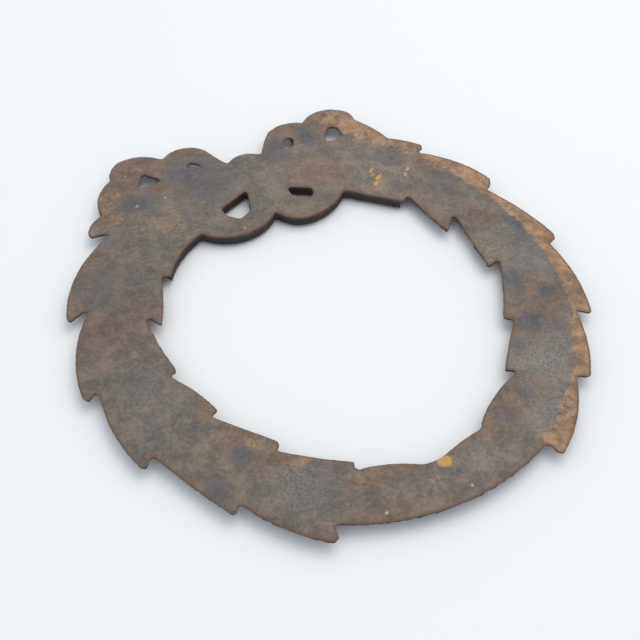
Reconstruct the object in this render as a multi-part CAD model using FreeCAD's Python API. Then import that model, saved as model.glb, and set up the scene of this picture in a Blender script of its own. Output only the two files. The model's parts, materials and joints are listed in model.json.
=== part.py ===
import FreeCAD, Part
import math
import os

from FreeCAD import Vector

os.makedirs("parts", exist_ok=True)

# Wreath door knocker, millimetres and degrees.
# It lies as it hangs: the door is the plane Z = 0, +Z points away from the door and +Y up it.
# Shapes are drawn round the ring's centre and then moved, so that the origin is on the door,
# midway between the two mounting screws.

# Wreath casting
ring_radius = 77.0          # ring's centre to the middle of the leaf band
casting_depth = 5.0         # front face to the back of the bow and rib
casting_lift = 1.0          # door to the back of the casting
rim = 1.8                   # thickness of the leaves
rib_offset = 0.5            # rib's middle, outside the band's middle
rib_root = 12.0             # rib's width under the leaves
rib_crest = 5.0             # rib's width at its back
rib_end = 13.0              # angle from the bottom where the rib stops
rib_start = 32.0            # angle from the top, inside the bow, where it begins
pad_thickness = 0.8         # thickening between the rib's ends, which carries the striker
opening_corner = 0.8        # corner radius of the six openings in the bow
hollow_rise = 12.0          # hollows behind the bow's upper loops start here, above the band's middle
knot_width = 16.0           # full depth between the hollows
hinge_wall = 0.9            # full depth beside the ears' pockets
past = 1.0                  # how far a cutter runs past what it cuts

# Hinge
pin_rise = 23.5             # pin above the middle of the band, at the top of the ring
pin_height = 2.2            # pin above the door, and the radius of the ears round it
pin_radius = 1.0
pin_chamfer = 0.2
hinge_spacing = 59.0        # between the middles of the two hinges
lug_width = 4.0
ear_width = 2.5
swing = 22.0                # ring's bottom away from the door
side_play = 0.3             # beside the lug
turn_play = 0.3             # round the ears
bore_fit = 0.05             # pin to lug bore, radial
press_fit = 0.02            # pin to ear bore, radial
door_play = 0.3             # casting to door at full swing

# Mounting plate
plate_rise = 9.0            # screws above the middle of the band
plate_margin = 0.7          # plate past the outer ears
plate_height = 16.0
plate_thickness = 1.6
plate_corner = 3.0
plate_play = 0.4            # plate to the recess for it in the casting's back
mount_screw_spacing = 36.0
mount_screw_bore = 3.6
countersink = 1.0           # depth of the screw heads' cones, which open at 45 degrees

# Striker and its plate
striker_reach = -0.5        # striker's middle, outside the middle of the band
striker_radius = 5.0
striker_head = 1.5
striker_dome = 0.8          # height of the head's sloped edge
striker_flat = 3.0          # radius of the face that hits
striker_shank_radius = 2.5
striker_shank = 1.4
strike_play = 0.3           # striker to plate at rest
strike_length = 26.0
strike_width = 11.0
strike_end = 0.49           # radius of its ends, as a share of its width
strike_bevel = 0.5
strike_screw_spacing = 18.0
strike_screw_bore = 3.0

# Leaves, from the bow down each side: a point along the edge, the tip, the blunt corner and the
# notch behind it. Each is an angle from the top of the ring and a reach past the band's middle.
leaves_outer_left = [
    ((42.5, 26.5), (45.5, 24.0), (45.5, 22.0), (42.0, 16.5)),
    ((55.0, 19.5), (70.5, 18.0), (71.0, 16.5), (66.5, 10.0)),
    ((80.5, 14.5), (93.0, 15.5), (94.0, 14.0), (92.0, 10.0)),
    ((104.5, 12.5), (114.5, 13.5), (115.5, 12.5), (114.0, 8.0)),
    ((125.5, 9.0), (136.0, 12.0), (137.0, 11.0), (136.0, 7.5)),
    ((145.5, 12.0), (156.0, 15.5), (157.0, 14.0), (156.0, 9.5)),
]
leaves_outer_right = [
    ((42.0, 24.0), (46.0, 23.5), (46.5, 21.5), (46.0, 18.0)),
    ((56.0, 20.0), (66.0, 19.0), (67.5, 16.0), (68.0, 12.5)),
    ((79.5, 14.5), (89.5, 16.5), (91.0, 15.5), (92.0, 12.0)),
    ((103.5, 14.0), (115.0, 15.0), (115.5, 14.0), (114.5, 9.5)),
    ((124.5, 12.5), (133.5, 14.5), (134.0, 13.5), (134.5, 10.0)),
    ((144.0, 14.5), (154.0, 17.5), (155.0, 16.5), (154.5, 11.5)),
]
leaves_inner_left = [
    ((40.5, -13.5), (52.0, -15.0), (53.0, -14.0), (52.5, -11.5)),
    ((63.0, -15.5), (74.5, -16.0), (75.0, -15.0), (69.5, -9.5)),
    ((82.5, -14.0), (94.5, -16.5), (96.0, -16.0), (95.5, -13.0)),
    ((105.5, -17.5), (116.0, -18.0), (117.0, -17.0), (116.0, -14.5)),
    ((127.5, -17.0), (139.0, -17.0), (140.0, -15.5), (139.0, -13.5)),
    ((150.5, -13.5), (161.5, -12.0), (161.5, -10.5), (161.5, -9.0)),
]
leaves_inner_right = [
    ((39.5, -15.0), (49.5, -14.0), (50.5, -13.0), (50.0, -9.5)),
    ((59.0, -15.0), (72.0, -18.0), (72.0, -17.0), (67.5, -8.5)),
    ((81.0, -14.5), (94.0, -16.0), (94.5, -15.0), (92.5, -10.5)),
    ((106.0, -15.0), (118.0, -17.0), (119.0, -16.0), (119.0, -13.0)),
    ((129.5, -14.5), (140.0, -13.0), (140.0, -12.0), (139.0, -9.0)),
    ((149.5, -11.5), (160.5, -8.5), (161.0, -8.0), (161.5, -7.0)),
]
bottom_outer = [(180.0, 11.0)]
bottom_inner = [(189.5, -9.5), (181.5, -6.2), (177.5, -5.7), (173.5, -6.5), (167.5, -7.5)]

# Bow, in X and in Y above the middle of the band: arcs of start, middle and end.
bow_top = [
    [(61.0, 3.0), (58.0, 12.5), (53.5, 20.5)],          # right tail
    [(53.5, 20.5), (53.0, 26.5), (49.0, 30.5)],         # far right loop
    [(49.0, 30.5), (40.5, 32.5), (31.5, 27.5)],
    [(31.5, 27.5), (22.5, 30.0), (14.5, 26.5)],         # near right loop
    [(14.5, 26.5), (10.5, 20.5), (7.0, 14.0)],
    [(7.0, 14.0), (0.0, 17.5), (-8.0, 14.0)],           # knot
    [(-8.0, 14.0), (-10.5, 19.0), (-13.0, 25.0)],       # near left loop
    [(-13.0, 25.0), (-22.0, 31.5), (-32.0, 27.5)],
    [(-32.0, 27.5), (-40.0, 33.0), (-50.0, 33.0)],      # far left loop
    [(-50.0, 33.0), (-54.0, 29.0), (-56.0, 22.5)],
    [(-56.0, 22.5), (-62.5, 15.5), (-64.2, 3.5)],       # left tail
]
bow_bottom = [
    [(-31.5, -22.0), (-18.0, -29.2), (-0.5, -21.5)],    # lower left loop
    [(-0.5, -21.5), (3.5, -27.2), (13.0, -29.7)],       # lower right loop
    [(13.0, -29.7), (23.0, -26.3), (29.5, -20.8)],
]
bow_openings = {
    "far_left": [(-46.5, 13.5), (-42.5, 21.5), (-36.0, 14.5)],
    "near_left": [(-24.0, 19.0), (-22.0, 21.0), (-19.0, 18.0), (-18.5, 13.5), (-20.5, 13.0)],
    "lower_left": [(-19.5, -11.5), (-6.5, -5.0), (-9.5, -17.0), (-14.5, -19.8), (-19.0, -16.0)],
    "near_right": [(16.5, 13.0), (18.0, 17.5), (21.5, 20.5), (23.5, 18.5), (21.5, 14.0)],
    "far_right": [(35.5, 11.0), (37.5, 16.0), (41.0, 20.0), (44.0, 18.0), (43.5, 11.5)],
    "lower_right": [(9.0, -9.5), (18.0, -14.0), (17.5, -17.5), (14.5, -19.2), (9.5, -15.0)],
}

face_height = casting_lift + casting_depth
leaf_back = face_height - rim
pad_back = leaf_back - pad_thickness
ear_span = lug_width + 2 * (side_play + ear_width)
ear_room = ear_span + 2 * turn_play
hinge_y = ring_radius + pin_rise
screw_y = ring_radius + plate_rise
striker_y = -(ring_radius + striker_reach)
hinge_places = (-hinge_spacing / 2, hinge_spacing / 2)
plate_length = hinge_spacing + ear_span + 2 * plate_margin
pocket_top = 2 * pin_height + turn_play
strike_thickness = pad_back - striker_head - strike_play
up = Vector(0, 0, 1)
along = Vector(1, 0, 0)


def on_ring(side, place):
    angle = math.radians(place[0])
    reach = ring_radius + place[1]
    return Vector(side * reach * math.sin(angle), reach * math.cos(angle), 0)


def on_bow(place):
    return Vector(place[0], ring_radius + place[1], 0)


def line(a, b):
    return Part.LineSegment(a, b).toShape()


def arc(a, b, c):
    return Part.Arc(a, b, c).toShape()


def leaf_edges(start, side, leaves):
    # A row of leaves: a curved edge out to each tip, its blunt end, and the cut back to the notch.
    edges = []
    for leaf in leaves:
        middle, tip, corner, notch = [on_ring(side, place) for place in leaf]
        edges.append(arc(start, middle, tip))
        edges.append(line(tip, corner))
        edges.append(line(corner, notch))
        start = notch
    return edges, start


def bow_edges(arcs):
    return [arc(*[on_bow(place) for place in points]) for points in arcs]


def leaf_ring_outline(left_start, right_start, left_leaves, right_leaves, bottom):
    # Both rows of leaves, and the plain stretch at the bottom as arcs through its points.
    left, left_end = leaf_edges(left_start, -1, left_leaves)
    right, right_end = leaf_edges(right_start, 1, right_leaves)
    stops = [left_end] + [on_ring(1, place) for place in bottom] + [right_end]
    arcs = [arc(*stops[first:first + 3]) for first in range(0, len(stops) - 2, 2)]
    return left + right + arcs


def prism(edges, low, high):
    face = Part.Face(Part.Wire(Part.__sortEdges__(edges)))
    face.translate(up * low)
    return face.extrude(up * (high - low))


def polygon(points):
    return [line(a, b) for a, b in zip(points, points[1:] + points[:1])]


def leaf_plate():
    outer = leaf_ring_outline(on_bow(bow_top[-1][2]), on_bow(bow_top[0][0]),
                              leaves_outer_left, leaves_outer_right, bottom_outer)
    inner = leaf_ring_outline(on_bow(bow_bottom[0][0]), on_bow(bow_bottom[-1][2]),
                              leaves_inner_left, leaves_inner_right, bottom_inner)
    solid = prism(outer + bow_edges(bow_top), leaf_back, face_height)
    return solid.cut(prism(inner + bow_edges(bow_bottom), leaf_back - past, face_height + past))


def core_end(side, low, high, leaf):
    # Along the first inner leaf to its tip, then straight across the band.
    middle, tip = [on_ring(side, place) for place in leaf[:2]]
    return [arc(low, middle, tip), line(tip, high)]


def bow_core():
    # The bow and the leaf next to it on each side are full depth. The rib takes over from there.
    left = core_end(-1, on_bow(bow_bottom[0][0]), on_bow(bow_top[-1][2]), leaves_inner_left[0])
    right = core_end(1, on_bow(bow_bottom[-1][2]), on_bow(bow_top[0][0]), leaves_inner_right[0])
    return prism(bow_edges(bow_top) + bow_edges(bow_bottom) + left + right, casting_lift, face_height)


def band(section, first, last):
    # Turns a section, given as reach and height, from one angle past the bottom to another.
    points = [Vector(0, -(ring_radius + reach), height) for reach, height in section]
    face = Part.Face(Part.Wire(polygon(points)))
    face.rotate(Vector(0, 0, 0), up, first)
    return face.revolve(Vector(0, 0, 0), up, last - first)


def rib_and_pad():
    root = rib_root / 2
    crest = rib_crest / 2
    rib = [(rib_offset - root, leaf_back), (rib_offset + root, leaf_back),
           (rib_offset + crest, casting_lift), (rib_offset - crest, casting_lift)]
    pad = [(rib_offset - root, leaf_back), (rib_offset + root, leaf_back),
           (rib_offset + root, pad_back), (rib_offset - root, pad_back)]
    sweep = 180 - rib_start
    return [band(rib, rib_end, sweep), band(rib, -sweep, -rib_end), band(pad, -rib_end, rib_end)]


def bow_cutters():
    cutters = []
    for points in bow_openings.values():
        hole = prism(polygon([on_bow(place) for place in points]), casting_lift - past, face_height + past)
        corners = [edge for edge in hole.Edges if edge.tangentAt(edge.FirstParameter).cross(up).Length < 0.01]
        cutters.append(hole.makeFillet(opening_corner, corners))
    return cutters


def rod(radius, middle, width):
    # A cylinder on the hinge's axis.
    return Part.makeCylinder(radius, width, Vector(middle - width / 2, hinge_y, pin_height), along)


def swing_cutter():
    # Takes off what would reach the door at full swing.
    size = 3 * ring_radius
    block = Part.makeBox(size, size, size, Vector(-size / 2, hinge_y - size / 2, door_play - size))
    block.rotate(Vector(0, hinge_y, pin_height), along, swing)
    return block


def plate_recess():
    # Room in the casting's back for the mounting plate and for the webs out to its ears.
    top = plate_thickness + plate_play
    length = plate_length + 2 * plate_play
    low = screw_y - plate_height / 2 - plate_play
    cuts = [Part.makeBox(length, plate_height + 2 * plate_play, top, Vector(-length / 2, low, 0))]
    for x in hinge_places:
        cuts.append(Part.makeBox(ear_room, hinge_y - low, top, Vector(x - ear_room / 2, low, 0)))
    return cuts


def loop_hollows():
    # The upper loops are as thin as the leaves, apart from the knot and the block at each hinge.
    low = ring_radius + hollow_rise
    kept = [(0, knot_width)] + [(x, ear_room + 2 * hinge_wall) for x in hinge_places]
    space = Part.makeBox(2 * ring_radius, ring_radius, leaf_back, Vector(-ring_radius, low, 0))
    blocks = [Part.makeBox(width, ring_radius, leaf_back, Vector(x - width / 2, low, 0))
              for x, width in kept]
    return space.cut(Part.Compound(blocks))


def lug(middle):
    # Its neck ends halfway through the skin that is left over the ears' pocket.
    radius = pin_height - door_play
    neck = Part.makeBox(lug_width, 2 * radius, (pocket_top + face_height) / 2 - pin_height,
                        Vector(middle - lug_width / 2, hinge_y - radius, pin_height))
    return rod(radius, middle, lug_width).fuse(neck)


def shank_socket():
    return Part.makeCylinder(striker_shank_radius, striker_shank, Vector(0, striker_y, pad_back))


def wreath():
    solid = leaf_plate().multiFuse([bow_core()] + rib_and_pad())
    pockets = [rod(pocket_top - pin_height, x, ear_room) for x in hinge_places]
    cutters = bow_cutters() + pockets + plate_recess()
    cutters += [loop_hollows(), shank_socket(), swing_cutter()]
    solid = solid.cut(Part.Compound(cutters))
    solid = solid.multiFuse([lug(x) for x in hinge_places])
    bores = [rod(pin_radius + bore_fit, x, lug_width + past) for x in hinge_places]
    return solid.cut(Part.Compound(bores)).removeSplitter()


def rounded_bar(length, width, corner, thickness, y):
    bar = Part.makeBox(length, width, thickness, Vector(-length / 2, y - width / 2, 0))
    upright = [edge for edge in bar.Edges if abs(edge.Vertexes[0].Z - edge.Vertexes[1].Z) > thickness / 2]
    return bar.makeFillet(corner, upright)


def screw_holes(spacing, y, bore, thickness):
    # Two countersunk holes, side by side.
    holes = []
    for x in (-spacing / 2, spacing / 2):
        shank = Part.makeCylinder(bore / 2, thickness + 2 * past, Vector(x, y, -past))
        head = Part.makeCone(bore / 2, bore / 2 + countersink, countersink,
                             Vector(x, y, thickness - countersink))
        holes.append(shank.fuse(head))
    return holes


def ears():
    pieces = []
    for x in hinge_places:
        for side in (-1, 1):
            middle = x + side * (lug_width / 2 + side_play + ear_width / 2)
            web = Part.makeBox(ear_width, hinge_y - screw_y, plate_thickness,
                               Vector(middle - ear_width / 2, screw_y, 0))
            pieces += [rod(pin_height, middle, ear_width), web]
    return pieces


def mounting_plate():
    bar = rounded_bar(plate_length, plate_height, plate_corner, plate_thickness, screw_y)
    holes = screw_holes(mount_screw_spacing, screw_y, mount_screw_bore, plate_thickness)
    holes += [rod(pin_radius + press_fit, x, ear_span + past) for x in hinge_places]
    return bar.multiFuse(ears()).cut(Part.Compound(holes)).removeSplitter()


def hinge_pin(x):
    pin = rod(pin_radius, x, ear_span)
    rims = [edge for edge in pin.Edges if edge.Curve.TypeId == "Part::GeomCircle"]
    return pin.makeChamfer(pin_chamfer, rims)


def striker_button():
    low = strike_thickness + strike_play
    shoulder = low + striker_dome
    dome = Part.makeCone(striker_flat, striker_radius, striker_dome, Vector(0, striker_y, low))
    head = Part.makeCylinder(striker_radius, pad_back - shoulder, Vector(0, striker_y, shoulder))
    return dome.multiFuse([head, shank_socket()]).removeSplitter()


def strike_plate():
    bar = rounded_bar(strike_length, strike_width, strike_end * strike_width, strike_thickness, striker_y)
    top = [edge for edge in bar.Edges if min(v.Z for v in edge.Vertexes) > strike_thickness / 2]
    bar = bar.makeChamfer(strike_bevel, top)
    holes = screw_holes(strike_screw_spacing, striker_y, strike_screw_bore, strike_thickness)
    return bar.cut(Part.Compound(holes))


def save(name, solid):
    solid = solid.copy()
    solid.translate(Vector(0, -screw_y, 0))
    for piece in solid.Solids:
        print(name, "valid", piece.isValid(), "volume", round(piece.Volume))
    solid.exportStep("parts/" + name + ".step")


save("wreath", wreath())
save("mounting_plate", mounting_plate())
for side, place in zip(("left", "right"), hinge_places):
    save("hinge_pin_" + side, hinge_pin(place))
save("striker_button", striker_button())
save("strike_plate", strike_plate())
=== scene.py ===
import json
import math

import bmesh
import bpy
import numpy as np
from mathutils import Matrix, Vector, kdtree, noise


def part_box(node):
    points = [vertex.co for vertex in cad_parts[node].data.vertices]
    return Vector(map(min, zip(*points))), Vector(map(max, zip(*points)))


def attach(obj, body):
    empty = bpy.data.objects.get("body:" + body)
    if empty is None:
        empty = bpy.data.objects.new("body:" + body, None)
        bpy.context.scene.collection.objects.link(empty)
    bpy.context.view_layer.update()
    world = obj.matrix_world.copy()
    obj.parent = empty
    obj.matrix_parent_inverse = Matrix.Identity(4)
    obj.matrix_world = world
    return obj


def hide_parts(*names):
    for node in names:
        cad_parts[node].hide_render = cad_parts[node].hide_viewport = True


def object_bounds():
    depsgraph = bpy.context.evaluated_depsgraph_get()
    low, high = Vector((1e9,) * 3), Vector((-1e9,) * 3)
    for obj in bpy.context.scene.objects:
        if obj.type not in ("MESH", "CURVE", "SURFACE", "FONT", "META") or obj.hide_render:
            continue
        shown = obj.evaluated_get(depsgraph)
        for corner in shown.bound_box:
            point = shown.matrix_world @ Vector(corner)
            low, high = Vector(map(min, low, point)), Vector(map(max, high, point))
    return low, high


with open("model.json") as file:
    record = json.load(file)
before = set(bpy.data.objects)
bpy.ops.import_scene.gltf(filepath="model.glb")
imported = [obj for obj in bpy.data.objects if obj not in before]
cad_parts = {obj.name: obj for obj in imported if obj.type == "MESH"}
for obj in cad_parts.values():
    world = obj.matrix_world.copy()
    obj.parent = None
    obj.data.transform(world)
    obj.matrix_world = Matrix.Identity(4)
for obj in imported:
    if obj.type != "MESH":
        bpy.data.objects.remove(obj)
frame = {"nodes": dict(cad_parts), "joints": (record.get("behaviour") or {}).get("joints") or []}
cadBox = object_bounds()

scene = bpy.context.scene
mm = 0.001
hingePlace = Vector(frame["joints"][0]["pos_m"])


# Pieces and meshes

def newPiece(name, mesh):
    piece = bpy.data.objects.new(name, mesh)
    scene.collection.objects.link(piece)
    return piece


def pieceFrom(bm, name):
    mesh = bpy.data.meshes.new(name)
    bm.to_mesh(mesh)
    bm.free()
    return newPiece(name, mesh)


def copyNode(node, name):
    bm = bmesh.new()
    bm.from_mesh(frame["nodes"][node].data)
    bmesh.ops.remove_doubles(bm, verts=bm.verts, dist=0.001 * mm)
    return pieceFrom(bm, name)


def applyModifiers(piece):
    bpy.context.view_layer.update()
    graph = bpy.context.evaluated_depsgraph_get()
    mesh = bpy.data.meshes.new_from_object(piece.evaluated_get(graph))
    piece.modifiers.clear()
    piece.data = mesh


def castSkin(piece, voxel, wear):
    # Even small faces all over, with the corners worn round.
    remesh = piece.modifiers.new("voxels", "REMESH")
    remesh.mode = "VOXEL"
    remesh.voxel_size = voxel
    smooth = piece.modifiers.new("wear", "SMOOTH")
    smooth.factor = 0.5
    smooth.iterations = wear
    applyModifiers(piece)


def combine(piece, operation, tool):
    boolean = piece.modifiers.new("combine", "BOOLEAN")
    boolean.operation = operation
    boolean.solver = "EXACT"
    boolean.object = tool
    applyModifiers(piece)
    bpy.data.objects.remove(tool)


def rod(radius, width, x, segments=48):
    # A cylinder on the hinge's axis.
    bm = bmesh.new()
    bmesh.ops.create_cone(bm, cap_ends=True, cap_tris=False, segments=segments,
                          radius1=radius, radius2=radius, depth=width)
    bmesh.ops.rotate(bm, verts=bm.verts, cent=(0, 0, 0), matrix=Matrix.Rotation(math.pi / 2, 3, "Y"))
    bmesh.ops.translate(bm, verts=bm.verts, vec=hingePlace + Vector((x, 0, 0)))
    return bm


def meshArrays(mesh):
    count = len(mesh.vertices)
    places = np.empty(count * 3)
    normals = np.empty(count * 3)
    mesh.vertices.foreach_get("co", places)
    mesh.vertex_normals.foreach_get("vector", normals)
    return places.reshape(-1, 3), normals.reshape(-1, 3)


def roughness(places, size, octaves=3):
    # Noise from 0 to 1 at each place, with lumps of that size.
    values = [noise.fractal(Vector(place) / size, 1.0, 2.0, octaves) for place in places]
    return np.clip(0.5 + 0.5 * np.array(values), 0, 1)


def wearIn(piece, depths):
    # Moves each point into the metal, never out of it.
    places, normals = meshArrays(piece.data)
    piece.data.vertices.foreach_set("co", (places - normals * depths[:, None]).ravel())
    piece.data.update()


def smoothStep(values, low, high):
    share = np.clip((values - low) / (high - low), 0, 1)
    return share * share * (3 - 2 * share)


def setAttribute(piece, name, values):
    attribute = piece.data.attributes.new(name, "FLOAT", "POINT")
    attribute.data.foreach_set("value", values.astype(np.float32))


def shadeSmooth(piece, angle=50):
    piece.data.polygons.foreach_set("use_smooth", [True] * len(piece.data.polygons))
    piece.data.set_sharp_from_angle(angle=math.radians(angle))


def finishPiece(piece, body, nodes, material):
    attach(piece, body)
    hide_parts(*nodes)
    piece.data.materials.clear()
    piece.data.materials.append(material)
    print(piece.name, "done,", len(piece.data.polygons), "faces")


# Material nodes

def tone(red, green, blue):
    # A colour as it is seen on screen, 0 to 255, for a shader.
    return tuple((value / 255) ** 2.2 for value in (red, green, blue)) + (1.0,)


def newMaterial(name):
    material = bpy.data.materials.new(name)
    material.use_nodes = True
    tree = material.node_tree
    return material, tree, tree.nodes["Principled BSDF"]


def addNode(tree, kind, inputs, **settings):
    node = tree.nodes.new("ShaderNode" + kind)
    for name, value in settings.items():
        setattr(node, name, value)
    for socket, value in inputs.items():
        if isinstance(value, bpy.types.NodeSocket):
            tree.links.new(value, node.inputs[socket])
        else:
            node.inputs[socket].default_value = value
    return node


def lumps(tree, place, size, detail=3.0, rough=0.5):
    return addNode(tree, "TexNoise", {"Vector": place, "Scale": 1 / size, "Detail": detail,
                                      "Roughness": rough}).outputs["Fac"]


def ramp(tree, value, low, high, first=0.0, last=1.0):
    return addNode(tree, "MapRange", {"Value": value, "From Min": low, "From Max": high, "To Min": first,
                                      "To Max": last}, interpolation_type="SMOOTHSTEP").outputs["Result"]


def calc(tree, operation, first, second):
    return addNode(tree, "Math", {0: first, 1: second}, operation=operation).outputs[0]


def blendColours(tree, share, first, second, how="MIX"):
    return addNode(tree, "Mix", {0: share, 6: first, 7: second}, data_type="RGBA",
                   blend_type=how).outputs[2]


def readAttribute(tree, name):
    return addNode(tree, "Attribute", {}, attribute_name=name).outputs["Fac"]


def objectPlace(tree):
    return addNode(tree, "TexCoord", {}).outputs["Object"]


# Camera, light and floor

studio = {
    "cameraPlace": (-0.0907, -0.2819, 0.2445),
    "cameraTarget": (-0.0074, -0.0904, 0.0060),
    "lens": 50.6,
    "nearClip": 0.01,
    "floorSize": 6.0,
    "floorColour": tone(229, 229, 229),
    "floorRoughness": 0.9,
    "floorGloss": 0.2,
    "skyColour": tone(231, 240, 250),
    "skyStrength": 1.09,
    "keyTurn": 25.0,            # degrees from +X towards +Y
    "keyRise": 68.0,            # degrees above the floor
    "keyDistance": 0.9,
    "keySize": 0.8,
    "keyPower": 2.8,
    "keyColour": (1.0, 0.90, 0.72),
}


def makeStudio():
    camera = bpy.data.objects.new("camera", bpy.data.cameras.new("camera"))
    camera.data.lens = studio["lens"]
    camera.location = studio["cameraPlace"]
    aim = Vector(studio["cameraTarget"]) - camera.location
    camera.rotation_euler = aim.to_track_quat("-Z", "Y").to_euler()
    camera.data.clip_start = studio["nearClip"]
    scene.collection.objects.link(camera)
    scene.camera = camera

    middle = (Vector(cadBox[0]) + Vector(cadBox[1])) / 2
    turn, rise = math.radians(studio["keyTurn"]), math.radians(studio["keyRise"])
    direction = Vector((math.cos(turn) * math.cos(rise), math.sin(turn) * math.cos(rise), math.sin(rise)))
    lamp = bpy.data.lights.new("key", "AREA")
    lamp.shape = "DISK"
    lamp.size = studio["keySize"]
    lamp.energy = studio["keyPower"]
    lamp.color = studio["keyColour"]
    key = bpy.data.objects.new("key", lamp)
    key.location = middle + direction * studio["keyDistance"]
    key.rotation_euler = (-direction).to_track_quat("-Z", "Y").to_euler()
    scene.collection.objects.link(key)

    world = bpy.data.worlds.new("sky")
    world.use_nodes = True
    background = world.node_tree.nodes["Background"]
    background.inputs["Color"].default_value = studio["skyColour"]
    background.inputs["Strength"].default_value = studio["skyStrength"]
    scene.world = world
    scene.view_settings.view_transform = "Standard"

    bm = bmesh.new()
    bmesh.ops.create_grid(bm, x_segments=1, y_segments=1, size=studio["floorSize"] / 2)
    floor = pieceFrom(bm, "floor")
    material, tree, shader = newMaterial("paleFloor")
    shader.inputs["Base Color"].default_value = studio["floorColour"]
    shader.inputs["Roughness"].default_value = studio["floorRoughness"]
    shader.inputs["Specular IOR Level"].default_value = studio["floorGloss"]
    floor.data.materials.append(material)
    print("camera, light and floor ready")


makeStudio()


# Wreath casting. Spots on it are in millimetres from the ring's centre: across, up,
# half width, half height, and how strong, or for the hollows how deep.

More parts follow.
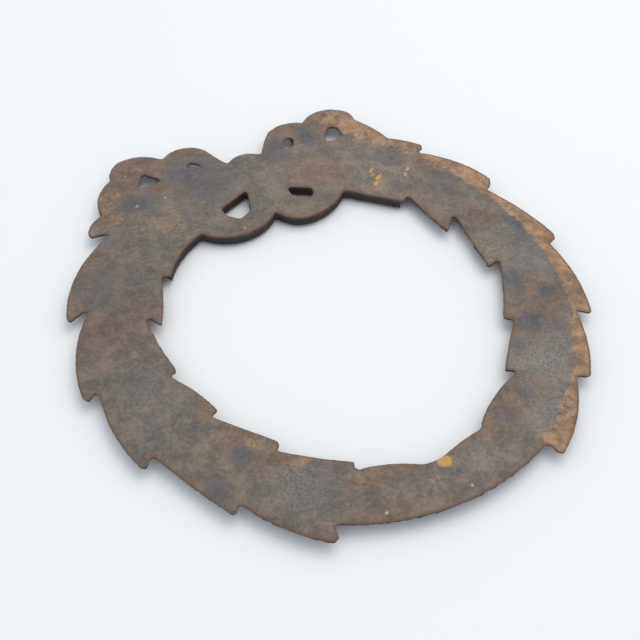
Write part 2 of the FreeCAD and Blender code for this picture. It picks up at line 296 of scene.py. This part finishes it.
casting = {
    "centre": (0.0, -86.0),
    "bandRadius": 77.0,
    "voxel": 0.70 * mm,
    "wear": 4,
    "rimHeight": 4.9 * mm,      # walls above this count as the rim
    "rimTilt": 0.6,             # height of a normal, below which a point is on a wall
    "faceTilt": 0.5,
    "lumps": ((13 * mm, 2), (4.0 * mm, 3), (1.7 * mm, 2)),      # broad, small and fine: size, octaves
    "lumpDepths": (0.22, 0.30, 0.12),       # depths and widths of the wear are in millimetres
    "lumpLift": 0.12,
    "leastDepth": 0.02,
    "rightRimFrom": (30, 50),
    "rightRimTop": 75,
    "outerSlopes": (0.5, 0.12),             # at the right, elsewhere
    "outerSlopeWidth": 5.0,
    "edgeSlope": 0.2,
    "edgeSlopeWidth": 2.2,
    "pitShare": 0.5,
    "backDepth": 0.10,
    "wallDepths": (0.20, 0.06),
    "rimFacing": 0.35,          # heights of a normal: below the first a point takes the rim's colour
    "faceFacing": (0.1, 0.5),   # patches fade in between these
    "backFacing": (0.3, 0.6),   # the underside's colour, with the normal pointing down
    "stripLimit": 5,
    "pocketRadius": 2.65 * mm,
    "pocketWidth": 10.5 * mm,
    "lugRadius": 1.9 * mm,
    "lugWidth": 4.0 * mm,
    "lugTop": 5.35 * mm,
    "boreRadius": 1.05 * mm,
    "hingeX": 29.5 * mm,
    "hollows": [                # dips in the face
        (78, -8, 6, 10, 0.35), (74, -26, 6, 6, 0.3), (60, -50, 7, 7, 0.35), (42, -68, 6, 5, 0.25),
        (70, 12, 7, 7, 0.2), (66, 40, 8, 9, 0.25), (-74, 42, 9, 9, 0.3), (-78, 10, 7, 10, 0.3),
        (-70, -18, 7, 9, 0.3), (-56, -44, 8, 8, 0.3), (-36, -68, 8, 6, 0.25), (-28, 92, 8, 8, 0.3),
        (27, 97, 8, 7, 0.25), (-12, 74, 10, 5, 0.2), (14, 72, 9, 5, 0.2), (-50, 66, 9, 7, 0.25),
        (48, 68, 9, 8, 0.25), (8, -77, 4.5, 1.6, 0.35), (3, -79, 3, 1.5, 0.3), (-20, -78, 8, 5, 0.2),
        (25, -74, 7, 5, 0.2), (0, 84, 8, 6, 0.2), (30, 74, 9, 6, 0.2), (-33, 70, 9, 6, 0.2),
    ],
    "stripEdge": [              # inner edge of the orange strip: degrees from the top, radius
        (44, 130.0), (47, 91.5), (57, 89.0), (68, 86.0), (80, 85.0), (92, 84.0), (104, 84.5), (114.5, 85.5),
        (125, 83.0), (134.5, 85.5), (145, 85.0), (154.5, 87.0), (157, 89.5), (160, 130.0),
    ],
    "orange": [
        (47, 102, 9, 6, 0.8), (49, 95, 6, 10, 1.0), (57, 84, 6, 9, 0.9), (65, 73, 9, 6, 0.8),
        (75, 55, 7, 8, 0.6), (82, 47, 5, 7, 0.2), (36, -79.5, 7, 2, 0.6), (66, 3, 2.5, 5, 0.5),
        (-43, 101, 7, 5, 0.35), (-58, 90, 6, 13, 0.45), (-62, 77, 5, 6, 0.55),
        (-36, -55, 4, 3, 0.8), (-47, -42, 5, 6, 0.45), (-21, -69, 2, 2, 0.7), (-28.5, -74.5, 1.6, 1, 0.8),
        (-0.5, -77.6, 2.4, 1.0, 0.8), (46, -83, 6, 4, 1.0),
    ],
    "brown": [
        (-47, 104, 13, 9, 1.3), (-59, 90, 9, 16, 1.4), (-41, 87, 9, 4, 0.9), (-40, 65, 12, 10, 0.6),
        (-86, 28, 6, 16, 0.6),
        (-36, -52, 12, 6, 0.8), (-50, -38, 8, 8, 0.6), (-15, -70, 13, 3, 0.8), (-66, 30, 5, 12, 0.4),
        (42, -60, 8, 7, 1.0), (61, -35, 10, 9, 0.9), (74, -24, 8, 8, 0.9), (34, -66, 7, 6, 0.7),
        (58, -42, 7, 3, 0.7), (66, -30, 4, 5, 0.7), (76, -17, 6, 5, 0.8),
        (72, 20, 9, 8, 0.6), (24, -72, 4, 4, 0.7), (24, 70, 13, 9, 0.7), (-24, -82, 18, 3, 0.5),
        (45, 101, 12, 9, 0.9), (24, 103, 10, 3, 0.9), (-22, 104, 10, 3, 0.8), (70, 60, 10, 9, 0.7),
        (-76, 56, 8, 4, 0.7), (-60, 8, 4, 14, 0.5), (-57, -22, 4, 8, 0.5), (52, 38, 6, 8, 0.4),
    ],
    "red": [
        (-80, 20, 13, 15, 0.8), (-66, 22, 8, 12, 0.7), (-58, -2, 5, 9, 0.5), (-80, 50, 7, 8, 0.6),
        (-48, 108, 8, 4, 0.6), (-55, 97, 4, 5, 0.5),
        (69, 23, 7, 6, 0.5), (26, 54, 14, 4, 0.5), (-14, 50, 14, 4, 0.5), (-28, 52, 5, 3, 0.4),
        (24, 72, 10, 7, 0.4), (-28, -61, 5, 3, 0.5), (73, -50, 4, 9, 0.4), (-45, -86, 6, 4, 0.5),
        (66, 58, 5, 5, 0.5), (56, 30, 4, 8, 0.4), (0, -84, 26, 2, 0.4), (-62, -24, 5, 5, 0.3),
    ],
    "cool": [                   # bluish scale, darker than the rest
        (-41, 87, 8, 4, 0.4), (-25, 92, 9, 8, 0.8), (-22, 80, 14, 8, 0.5), (-50, 81, 9, 6, 0.7),
        (14, 92, 5, 11, 0.6),
        (29, 94, 3.5, 7, 0.9), (-64, 64, 8, 5, 0.4), (82, 13, 3, 8, 0.9), (80, 3, 5, 5, 0.5),
        (76, 6, 8, 4, 0.3), (64, -15, 4, 6, 0.8), (61, -35, 5.5, 5, 0.9), (74, -24, 4, 3.5, 0.8),
        (51, -42, 3, 4, 0.6), (68, -40, 3, 5, 0.6), (42, -60.5, 2.5, 2.5, 0.8), (32, -66.5, 4, 3, 0.6),
        (-52, -45, 4, 3.5, 0.7), (-63, -55, 4, 5, 0.7), (-39, -65, 7, 5, 0.5), (70, 49, 5, 5, 0.5),
        (62, 44, 9, 6, 0.2), (-72, -6, 7, 7, 0.4), (56, 70, 5, 6, 0.5), (7, -78, 4, 1.6, 0.6),
        (-69, 48, 6, 6, 0.4), (-78, 41, 5, 5, 0.3),
    ],
    "sandy": [                  # worn bare, with light and dark grains
        (56, -52, 12, 11, 1.0), (46, -70, 9, 7, 1.0), (78, -9, 7, 9, 0.8), (-39, -64, 9, 7, 0.8),
        (-42, -57, 6, 3, 0.6), (14, -76, 10, 5, 0.6), (-70, -16, 9, 12, 0.4), (64, -46, 7, 7, 0.8),
        (-40, 66, 12, 10, 0.5), (50, 62, 12, 12, 0.3), (-8, 72, 20, 8, 0.2), (70, 4, 8, 8, 0.5),
    ],
    "gold": [(-44, 66, 10, 8, 0.8), (-36, 60, 10, 8, 0.5), (50, 56, 12, 8, 0.4), (64.5, 3, 2.5, 5, 0.8),
             (-21, -68.5, 3, 3, 0.8), (-70, 4, 6, 12, 0.3), (-60, -30, 6, 8, 0.3)],
    "paint": [                  # flecks of old yellow paint
        (5, -73, 2.5, 2.2, 1.0), (45.3, 63.4, 1.3, 1.4, 0.75), (44.4, 62.2, 1.3, 1.2, 0.75),
        (44.6, 60.4, 1.2, 1.2, 0.75), (43.4, 59.4, 1.2, 1.0, 0.75), (46, 58.2, 1.2, 1.2, 0.75),
        (45, 57, 1.2, 1.2, 0.75), (43.4, 54.8, 1.4, 1.0, 0.75), (42.6, 54.0, 1.1, 1.0, 0.75),
        (56.4, 54.4, 1.0, 1.3, 0.75), (57.2, 55.6, 0.9, 1.0, 0.75), (-25, 71.5, 0.6, 1.0, 0.65),
    ],
    "pale": [                   # specks of lime and bare metal
        (-19.5, -82, 0.9, 0.6, 0.9), (8.5, -84, 0.9, 0.6, 0.9), (-15, 51, 1.0, 0.8, 0.7),
        (58.5, 57, 1.2, 1.0, 0.8), (59.3, 58.2, 0.9, 0.9, 0.8), (-38, 80.5, 0.9, 1.2, 0.6),
        (-50, 79.5, 1.2, 1.2, 0.7), (-49.5, 99.5, 0.8, 1.4, 0.7), (-68, -14, 0.8, 0.8, 0.6),
    ],
    "pits": [(5, -77.6, 1.8, 0.8, 0.8), (7.4, -77.6, 1.6, 0.8, 0.8), (9.6, -79, 1.4, 0.8, 0.7),
             (83.5, 38, 1.5, 2.2, 0.7), (-2, -79, 1.2, 0.8, 0.5), (24, -72, 2, 2, 0.4)],
    "oliveTone": tone(104, 96, 89),
    "cloudTone": tone(111, 97, 85),
    "brownTone": tone(114, 93, 78),
    "redTone": tone(110, 91, 84),
    "coolTone": tone(86, 83, 85),
    "orangeTone": tone(149, 116, 88),
    "orangeBrownTone": tone(130, 103, 79),
    "goldTone": tone(136, 113, 81),
    "bareTone": tone(124, 119, 114),
    "grainTone": tone(148, 141, 134),
    "darkTone": tone(50, 46, 44),
    "wallTone": tone(66, 50, 44),
    # painted shade for the lower parts of walls, near the floor
    "wallFootShadeTone": tone(32, 30, 34),
    "backTone": tone(88, 68, 56),
    "rimTone": tone(104, 74, 62),
    "paintTone": tone(188, 146, 72),
    "paleTone": tone(170, 158, 146),
}

castingPatches = ("orange", "brown", "red", "cool", "sandy", "gold", "paint", "pale", "pits")


def spread(across, up, spots):
    # The strongest spot at each place. A spot is full in its middle third, half as strong at
    # its own size, and gone by 1.66 times that.
    total = np.zeros(len(across))
    for x, y, halfWidth, halfHeight, strength in spots:
        reach = np.hypot((across - x) / halfWidth, (up - y) / halfHeight)
        total = np.maximum(total, strength * np.clip(1.25 - reach * 0.75, 0, 1) * (reach < 1.66))
    return total


def lugPiece(x):
    # A round eye with a neck up into the casting: a circle whose upper half is pulled up straight.
    bm = bmesh.new()
    bmesh.ops.create_circle(bm, cap_ends=True, segments=64, radius=casting["lugRadius"],
                            matrix=Matrix.Rotation(math.pi / 2, 4, "Y"))
    for vert in bm.verts:
        if vert.co.z > 0.1 * mm:
            vert.co.z = casting["lugTop"] - hingePlace.z
    bmesh.ops.translate(bm, verts=bm.verts, vec=hingePlace + Vector((x - casting["lugWidth"] / 2, 0, 0)))
    grown = bmesh.ops.extrude_face_region(bm, geom=bm.faces[:])["geom"]
    moved = [part for part in grown if isinstance(part, bmesh.types.BMVert)]
    bmesh.ops.translate(bm, verts=moved, vec=(casting["lugWidth"], 0, 0))
    bmesh.ops.recalc_face_normals(bm, faces=bm.faces)
    lug = pieceFrom(bm, "lug")
    bore = rod(casting["boreRadius"], 2 * casting["lugWidth"], x, 64)
    combine(lug, "DIFFERENCE", pieceFrom(bore, "bore"))
    return lug


def ringPlaces(places):
    # Millimetres across and up from the ring's centre.
    return places[:, 0] / mm - casting["centre"][0], places[:, 1] / mm - casting["centre"][1]


def findRims(piece):
    # The tops of all walls, laid flat.
    places, normals = meshArrays(piece.data)
    isRim = (np.abs(normals[:, 2]) < casting["rimTilt"]) & (places[:, 2] > casting["rimHeight"])
    rimPlaces = places[isRim]
    rims = kdtree.KDTree(len(rimPlaces))
    for index, place in enumerate(rimPlaces):
        rims.insert((place[0], place[1], 0), index)
    rims.balance()
    return rims


def rimDistances(rims, places):
    # Millimetres from each place to the nearest rim, seen from above.
    return np.array([rims.find((place[0], place[1], 0))[2] for place in places]) / mm


def wearCasting(piece, rims):
    # Soft hollows and pits in the face, a slope at the outer rims, and ragged walls.
    places, normals = meshArrays(piece.data)
    across, up = ringPlaces(places)
    rim = rimDistances(rims, places)
    face = normals[:, 2] > casting["faceTilt"]
    wall = np.abs(normals[:, 2]) < casting["faceTilt"]
    outer = np.hypot(across, up) > casting["bandRadius"]
    broad, small, fine = (roughness(places, size, octaves) for size, octaves in casting["lumps"])

    rightRim = smoothStep(across, *casting["rightRimFrom"]) * outer * (up < casting["rightRimTop"])
    rightSlope, otherSlope = casting["outerSlopes"]
    slope = np.clip(1 - rim / casting["outerSlopeWidth"], 0, 1)
    slope = slope * (rightSlope * rightRim + otherSlope * outer * (1 - rightRim))
    slope += casting["edgeSlope"] * np.clip(1 - rim / casting["edgeSlopeWidth"], 0, 1) ** 2
    dips = spread(across, up, casting["hollows"]) + casting["pitShare"] * spread(across, up, casting["pits"])

    broadDepth, smallDepth, fineDepth = casting["lumpDepths"]
    depth = broadDepth * broad + smallDepth * small ** 2 + fineDepth * fine - casting["lumpLift"]
    depth = np.maximum(depth, casting["leastDepth"]) + slope + dips
    depth = np.where(face, depth, casting["backDepth"] * small)
    smallDepth, fineDepth = casting["wallDepths"]
    depth = np.where(wall, smallDepth * small ** 1.5 + fineDepth * fine, depth)
    wearIn(piece, depth * mm)


def addLugs(piece):
    for side in (-1, 1):
        x = side * casting["hingeX"]
        pocket = rod(casting["pocketRadius"], casting["pocketWidth"], x)
        combine(piece, "DIFFERENCE", pieceFrom(pocket, "pocket"))
        combine(piece, "UNION", lugPiece(x))


def markRust(piece, rims):
    # What the rust follows: distance from the rim, the orange strip, the underside and the patches.
    places, normals = meshArrays(piece.data)
    across, up = ringPlaces(places)
    rim = np.where(normals[:, 2] < casting["rimFacing"], 0, rimDistances(rims, places))
    setAttribute(piece, "rimDistance", rim)
    turns, radii = zip(*casting["stripEdge"])
    stripEdge = np.interp(np.degrees(np.arctan2(across, up)), turns, radii)
    stripReach = np.clip(np.hypot(across, up) - stripEdge, -casting["stripLimit"], casting["stripLimit"])
    setAttribute(piece, "stripReach", stripReach)
    upward = smoothStep(normals[:, 2], *casting["faceFacing"])
    setAttribute(piece, "underside", smoothStep(-normals[:, 2], *casting["backFacing"]))
    for name in castingPatches:
        setAttribute(piece, name + "Patch", upward * spread(across, up, casting[name]))


def makeCasting():
    piece = copyNode("wreath", "wreathCasting")
    castSkin(piece, casting["voxel"], casting["wear"])
    print("wreath skin,", len(piece.data.polygons), "faces")
    rims = findRims(piece)
    wearCasting(piece, rims)
    addLugs(piece)
    shadeSmooth(piece)
    markRust(piece, rims)
    finishPiece(piece, "knocker", ["wreath"], castingRust())


def castingRust():
    material, tree, shader = newMaterial("rustyCastIron")
    place = objectPlace(tree)
    broad = lumps(tree, place, 16 * mm, 2.0)
    mottle = lumps(tree, place, 6 * mm, 4.0, 0.55)
    clouds = lumps(tree, place, 3.4 * mm, 3.0, 0.55)
    small = lumps(tree, place, 1.5 * mm, 3.0, 0.6)
    grain = lumps(tree, place, 0.7 * mm, 2.0)
    rim = readAttribute(tree, "rimDistance")
    patch = {name: readAttribute(tree, name + "Patch") for name in castingPatches}
    unrest = calc(tree, "ADD", calc(tree, "MULTIPLY", mottle, 0.65), calc(tree, "MULTIPLY", small, 0.35))

    def patchShare(name, low, high, strongest=1.0, raggedness=1.6):
        # A patch with a broken edge.
        ragged = calc(tree, "MULTIPLY", calc(tree, "SUBTRACT", unrest, 0.5), raggedness)
        return ramp(tree, calc(tree, "ADD", patch[name], ragged), low, high, 0.0, strongest)

    # Olive grey and brown in soft clouds, browner near the rims, then the patches.
    nearRim = ramp(tree, rim, 0.8, 4.5, 0.16, 0.0)
    brownness = calc(tree, "ADD", calc(tree, "MULTIPLY", calc(tree, "ADD", broad, mottle), 0.5), nearRim)
    colour = blendColours(tree, ramp(tree, brownness, 0.42, 0.66), casting["oliveTone"], casting["cloudTone"])
    colour = blendColours(tree, patchShare("brown", 0.15, 0.75, 0.9), colour, casting["brownTone"])
    colour = blendColours(tree, patchShare("red", 0.15, 0.80, 0.9), colour, casting["redTone"])
    colour = blendColours(tree, patchShare("cool", 0.15, 0.75, 0.95), colour, casting["coolTone"])
    colour = blendColours(tree, patchShare("gold", 0.10, 1.00, 0.6, 2.2), colour, casting["goldTone"])

    # Orange rust in patches and along the outer rim, with a fairly crisp inner edge.
    orange = blendColours(tree, ramp(tree, clouds, 0.38, 0.60), casting["orangeBrownTone"],
                          casting["orangeTone"])
    colour = blendColours(tree, patchShare("orange", 0.30, 0.80, 0.9), colour, orange)
    stripReach = calc(tree, "ADD", readAttribute(tree, "stripReach"),
                      calc(tree, "MULTIPLY", calc(tree, "SUBTRACT", unrest, 0.5), 5.0))
    strip = ramp(tree, stripReach, -0.7, 0.7)
    colour = blendColours(tree, calc(tree, "MULTIPLY", strip, 0.9), colour, orange)

    # Light and dark in four sizes, a painted sheen that makes the colour paler towards the right, and grain
    # where it is worn bare.
    split = addNode(tree, "SeparateXYZ", {0: place})
    height = split.outputs["Z"]
    # Painted sheen: the colour is lighter towards the right, where the lamp's glossy reflection falls.
    side = ramp(tree, split.outputs["X"], -100 * mm, 100 * mm)
    for value, low, high, darkest, lightest in (
            (broad, 0.36, 0.64, 0.88, 1.04), (mottle, 0.36, 0.64, 0.86, 1.12),
            (clouds, 0.36, 0.64, 0.94, 1.06), (small, 0.36, 0.64, 0.91, 1.10),
            (side, 0, 1, 0.96, 1.07)):
        shade = ramp(tree, value, low, high, darkest, lightest)
        grey = addNode(tree, "CombineColor", {0: shade, 1: shade, 2: shade}).outputs[0]
        colour = blendColours(tree, 1.0, colour, grey, "MULTIPLY")
    bareTone = blendColours(tree, calc(tree, "MULTIPLY", patch["sandy"], 0.45), colour, casting["bareTone"])
    colour = blendColours(tree, calc(tree, "SUBTRACT", 1.0, strip), colour, bareTone)
    bare = calc(tree, "ADD", calc(tree, "MULTIPLY", patch["sandy"], 0.34), 0.08)
    colour = blendColours(tree, calc(tree, "MULTIPLY", ramp(tree, grain, 0.50, 0.66), bare), colour,
                          casting["grainTone"])
    colour = blendColours(tree, calc(tree, "MULTIPLY", ramp(tree, grain, 0.46, 0.34), bare), colour,
                          casting["darkTone"])

    # Reddish rims over dark walls, with painted shade on the walls' lower parts, then the underside, pits,
    # paint and specks.
    edge = calc(tree, "SUBTRACT", rim, calc(tree, "MULTIPLY", unrest, 0.9))
    colour = blendColours(tree, ramp(tree, edge, 0.6, -0.1, 0.0, 0.6), colour, casting["rimTone"])
    wallTone = blendColours(tree, ramp(tree, mottle, 0.42, 0.75), casting["wallTone"], casting["rimTone"])
    # Painted shade: the walls turn darker and bluer towards their foot, as if in shadow.
    wallTone = blendColours(tree, ramp(tree, height, 5.2 * mm, 3.6 * mm, 0.0, 0.9), wallTone,
                            casting["wallFootShadeTone"])
    colour = blendColours(tree, ramp(tree, edge, -0.15, -0.40), colour, wallTone)
    backTone = blendColours(tree, ramp(tree, unrest, 0.42, 0.60), casting["wallTone"], casting["backTone"])
    backTone = blendColours(tree, ramp(tree, clouds, 0.54, 0.70, 0.0, 0.7), backTone,
                            casting["orangeBrownTone"])
    colour = blendColours(tree, readAttribute(tree, "underside"), colour, backTone)
    colour = blendColours(tree, patchShare("pits", 0.45, 0.90, 0.5), colour, casting["darkTone"])
    paint = blendColours(tree, ramp(tree, small, 0.45, 0.65, 0.0, 0.35), casting["paintTone"],
                         casting["orangeBrownTone"])
    colour = blendColours(tree, patchShare("paint", 0.40, 0.66, 0.9, 1.2), colour, paint)
    colour = blendColours(tree, patchShare("pale", 0.45, 0.70, 0.9), colour, casting["paleTone"])
    tree.links.new(colour, shader.inputs["Base Color"])

    tree.links.new(ramp(tree, unrest, 0.38, 0.62, 0.86, 0.75), shader.inputs["Roughness"])
    shader.inputs["Specular IOR Level"].default_value = 0.5

    relief = calc(tree, "ADD", calc(tree, "MULTIPLY", grain, 0.25), small)
    relief = calc(tree, "ADD", relief, calc(tree, "MULTIPLY", clouds, 1.4))
    bump = addNode(tree, "Bump", {"Height": relief, "Strength": 0.6, "Distance": 0.4 * mm})
    tree.links.new(bump.outputs["Normal"], shader.inputs["Normal"])
    return material


makeCasting()


# Fittings behind the wreath

fittings = {
    "voxel": 0.22 * mm,
    "wear": 2,
    "pinRadius": 1.0 * mm,
    "pinWidth": 9.6 * mm,
    "pinBore": 1.04 * mm,
    "boreReach": 1.2,           # share of the pin's width
    "rivetInset": 0.3,          # share of the pin's radius
    "rivetRound": 0.2 * mm,
    "strikerRadius": 5.0 * mm,
    "strikerFlat": 3.0 * mm,
    "strikerDome": 0.8 * mm,
    "shankRadius": 2.5 * mm,
    "shankLength": 1.4 * mm,
    "strikerRound": 0.3 * mm,
    "strikerLump": 1.5 * mm,
    "strikerWear": 0.04 * mm,
    "plateLumps": (3.0 * mm, 0.9 * mm),     # broad, fine
    "plateDepths": (0.05, 0.03),            # in millimetres
    "rustTone": tone(96, 70, 54),
    "scaleTone": tone(58, 50, 47),
    "bloomTone": tone(146, 98, 62),
    "wornTone": tone(112, 106, 102),
}


def fittingRust():
    material, tree, shader = newMaterial("rustyWroughtIron")
    place = objectPlace(tree)
    mottle = lumps(tree, place, 3.5 * mm, 4.0, 0.6)
    small = lumps(tree, place, 0.9 * mm, 4.0, 0.6)
    grain = lumps(tree, place, 0.3 * mm, 2.0)
    colour = blendColours(tree, ramp(tree, mottle, 0.38, 0.75), fittings["scaleTone"], fittings["rustTone"])
    bloom = calc(tree, "ADD", calc(tree, "MULTIPLY", mottle, 0.5), calc(tree, "MULTIPLY", small, 0.5))
    colour = blendColours(tree, ramp(tree, bloom, 0.53, 0.66, 0.0, 0.85), colour, fittings["bloomTone"])
    edges = addNode(tree, "NewGeometry", {}).outputs["Pointiness"]
    colour = blendColours(tree, ramp(tree, edges, 0.53, 0.60, 0.0, 0.7), colour, fittings["wornTone"])
    colour = blendColours(tree, ramp(tree, grain, 0.38, 0.25, 0.0, 0.6), colour, fittings["scaleTone"])
    tree.links.new(colour, shader.inputs["Base Color"])
    tree.links.new(ramp(tree, bloom, 0.35, 0.65, 0.55, 0.92), shader.inputs["Roughness"])
    shader.inputs["Metallic"].default_value = 0.25
    relief = calc(tree, "ADD", calc(tree, "MULTIPLY", grain, 0.4), small)
    bump = addNode(tree, "Bump", {"Height": relief, "Strength": 0.5, "Distance": 0.15 * mm})
    tree.links.new(bump.outputs["Normal"], shader.inputs["Normal"])
    return material


def makePlate(node, name):
    piece = copyNode(node, name)
    castSkin(piece, fittings["voxel"], fittings["wear"])
    places, normals = meshArrays(piece.data)
    broadLump, fineLump = fittings["plateLumps"]
    broadDepth, fineDepth = fittings["plateDepths"]
    depth = broadDepth * roughness(places, broadLump) + fineDepth * roughness(places, fineLump, 2)
    wearIn(piece, depth * mm)
    return piece


def makePin(side, name):
    # A rod with its ends hammered over.
    x = side * casting["hingeX"]
    bm = rod(fittings["pinRadius"], fittings["pinWidth"], x, 40)
    caps = [face for face in bm.faces if abs(face.normal.x) > 0.9]
    bmesh.ops.inset_region(bm, faces=caps, thickness=fittings["rivetInset"] * fittings["pinRadius"], depth=0)
    rims = [edge for edge in bm.edges if not edge.is_boundary
            and abs(edge.calc_face_angle(0) - math.pi / 2) < 0.2]
    bmesh.ops.bevel(bm, geom=rims, offset=fittings["rivetRound"], segments=3, profile=0.5,
                    affect="EDGES", material=-1)
    return pieceFrom(bm, name)


def makeStriker():
    # Turned from its section, from the striking face to the end of the shank.
    low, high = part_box("striker_button")
    middle = (Vector(low) + Vector(high)) / 2
    shoulder = low[2] + fittings["strikerDome"]
    padBack = high[2] - fittings["shankLength"]
    section = [(0, low[2]), (0.5 * fittings["strikerFlat"], low[2]), (fittings["strikerFlat"], low[2]),
               (fittings["strikerRadius"], shoulder), (fittings["strikerRadius"], padBack),
               (fittings["shankRadius"], padBack), (fittings["shankRadius"], high[2]), (0, high[2])]
    bm = bmesh.new()
    points = [bm.verts.new((middle.x + radius, middle.y, height)) for radius, height in section]
    edges = [bm.edges.new(pair) for pair in zip(points, points[1:])]
    bmesh.ops.spin(bm, geom=points + edges, cent=(middle.x, middle.y, 0), axis=(0, 0, 1),
                   angle=2 * math.pi, steps=72, use_merge=True)
    bmesh.ops.remove_doubles(bm, verts=bm.verts, dist=0.01 * mm)
    bmesh.ops.recalc_face_normals(bm, faces=bm.faces)
    rims = [edge for edge in bm.edges if len(edge.link_faces) == 2 and edge.calc_face_angle(0) > 0.3
            and edge.is_convex]
    bmesh.ops.bevel(bm, geom=rims, offset=fittings["strikerRound"], segments=3, profile=0.5,
                    affect="EDGES", material=-1)
    bmesh.ops.subdivide_edges(bm, edges=bm.edges, cuts=1, use_grid_fill=True)
    return pieceFrom(bm, "strikerButton")


def makeFittings():
    material = fittingRust()

    plate = makePlate("mounting_plate", "mountingPlate")
    for side in (-1, 1):
        x = side * casting["hingeX"]
        bore = rod(fittings["pinBore"], fittings["boreReach"] * fittings["pinWidth"], x)
        combine(plate, "DIFFERENCE", pieceFrom(bore, "bore"))
    shadeSmooth(plate)
    finishPiece(plate, "door_side", ["mounting_plate"], material)

    strike = makePlate("strike_plate", "strikePlate")
    shadeSmooth(strike)
    finishPiece(strike, "door_side", ["strike_plate"], material)

    for side, node, name in ((-1, "hinge_pin_left", "hingePinLeft"), (1, "hinge_pin_right", "hingePinRight")):
        pin = makePin(side, name)
        shadeSmooth(pin)
        finishPiece(pin, "door_side", [node], material)

    striker = makeStriker()
    places, normals = meshArrays(striker.data)
    wearIn(striker, fittings["strikerWear"] * roughness(places, fittings["strikerLump"]))
    shadeSmooth(striker)
    finishPiece(striker, "knocker", ["striker_button"], material)


makeFittings()
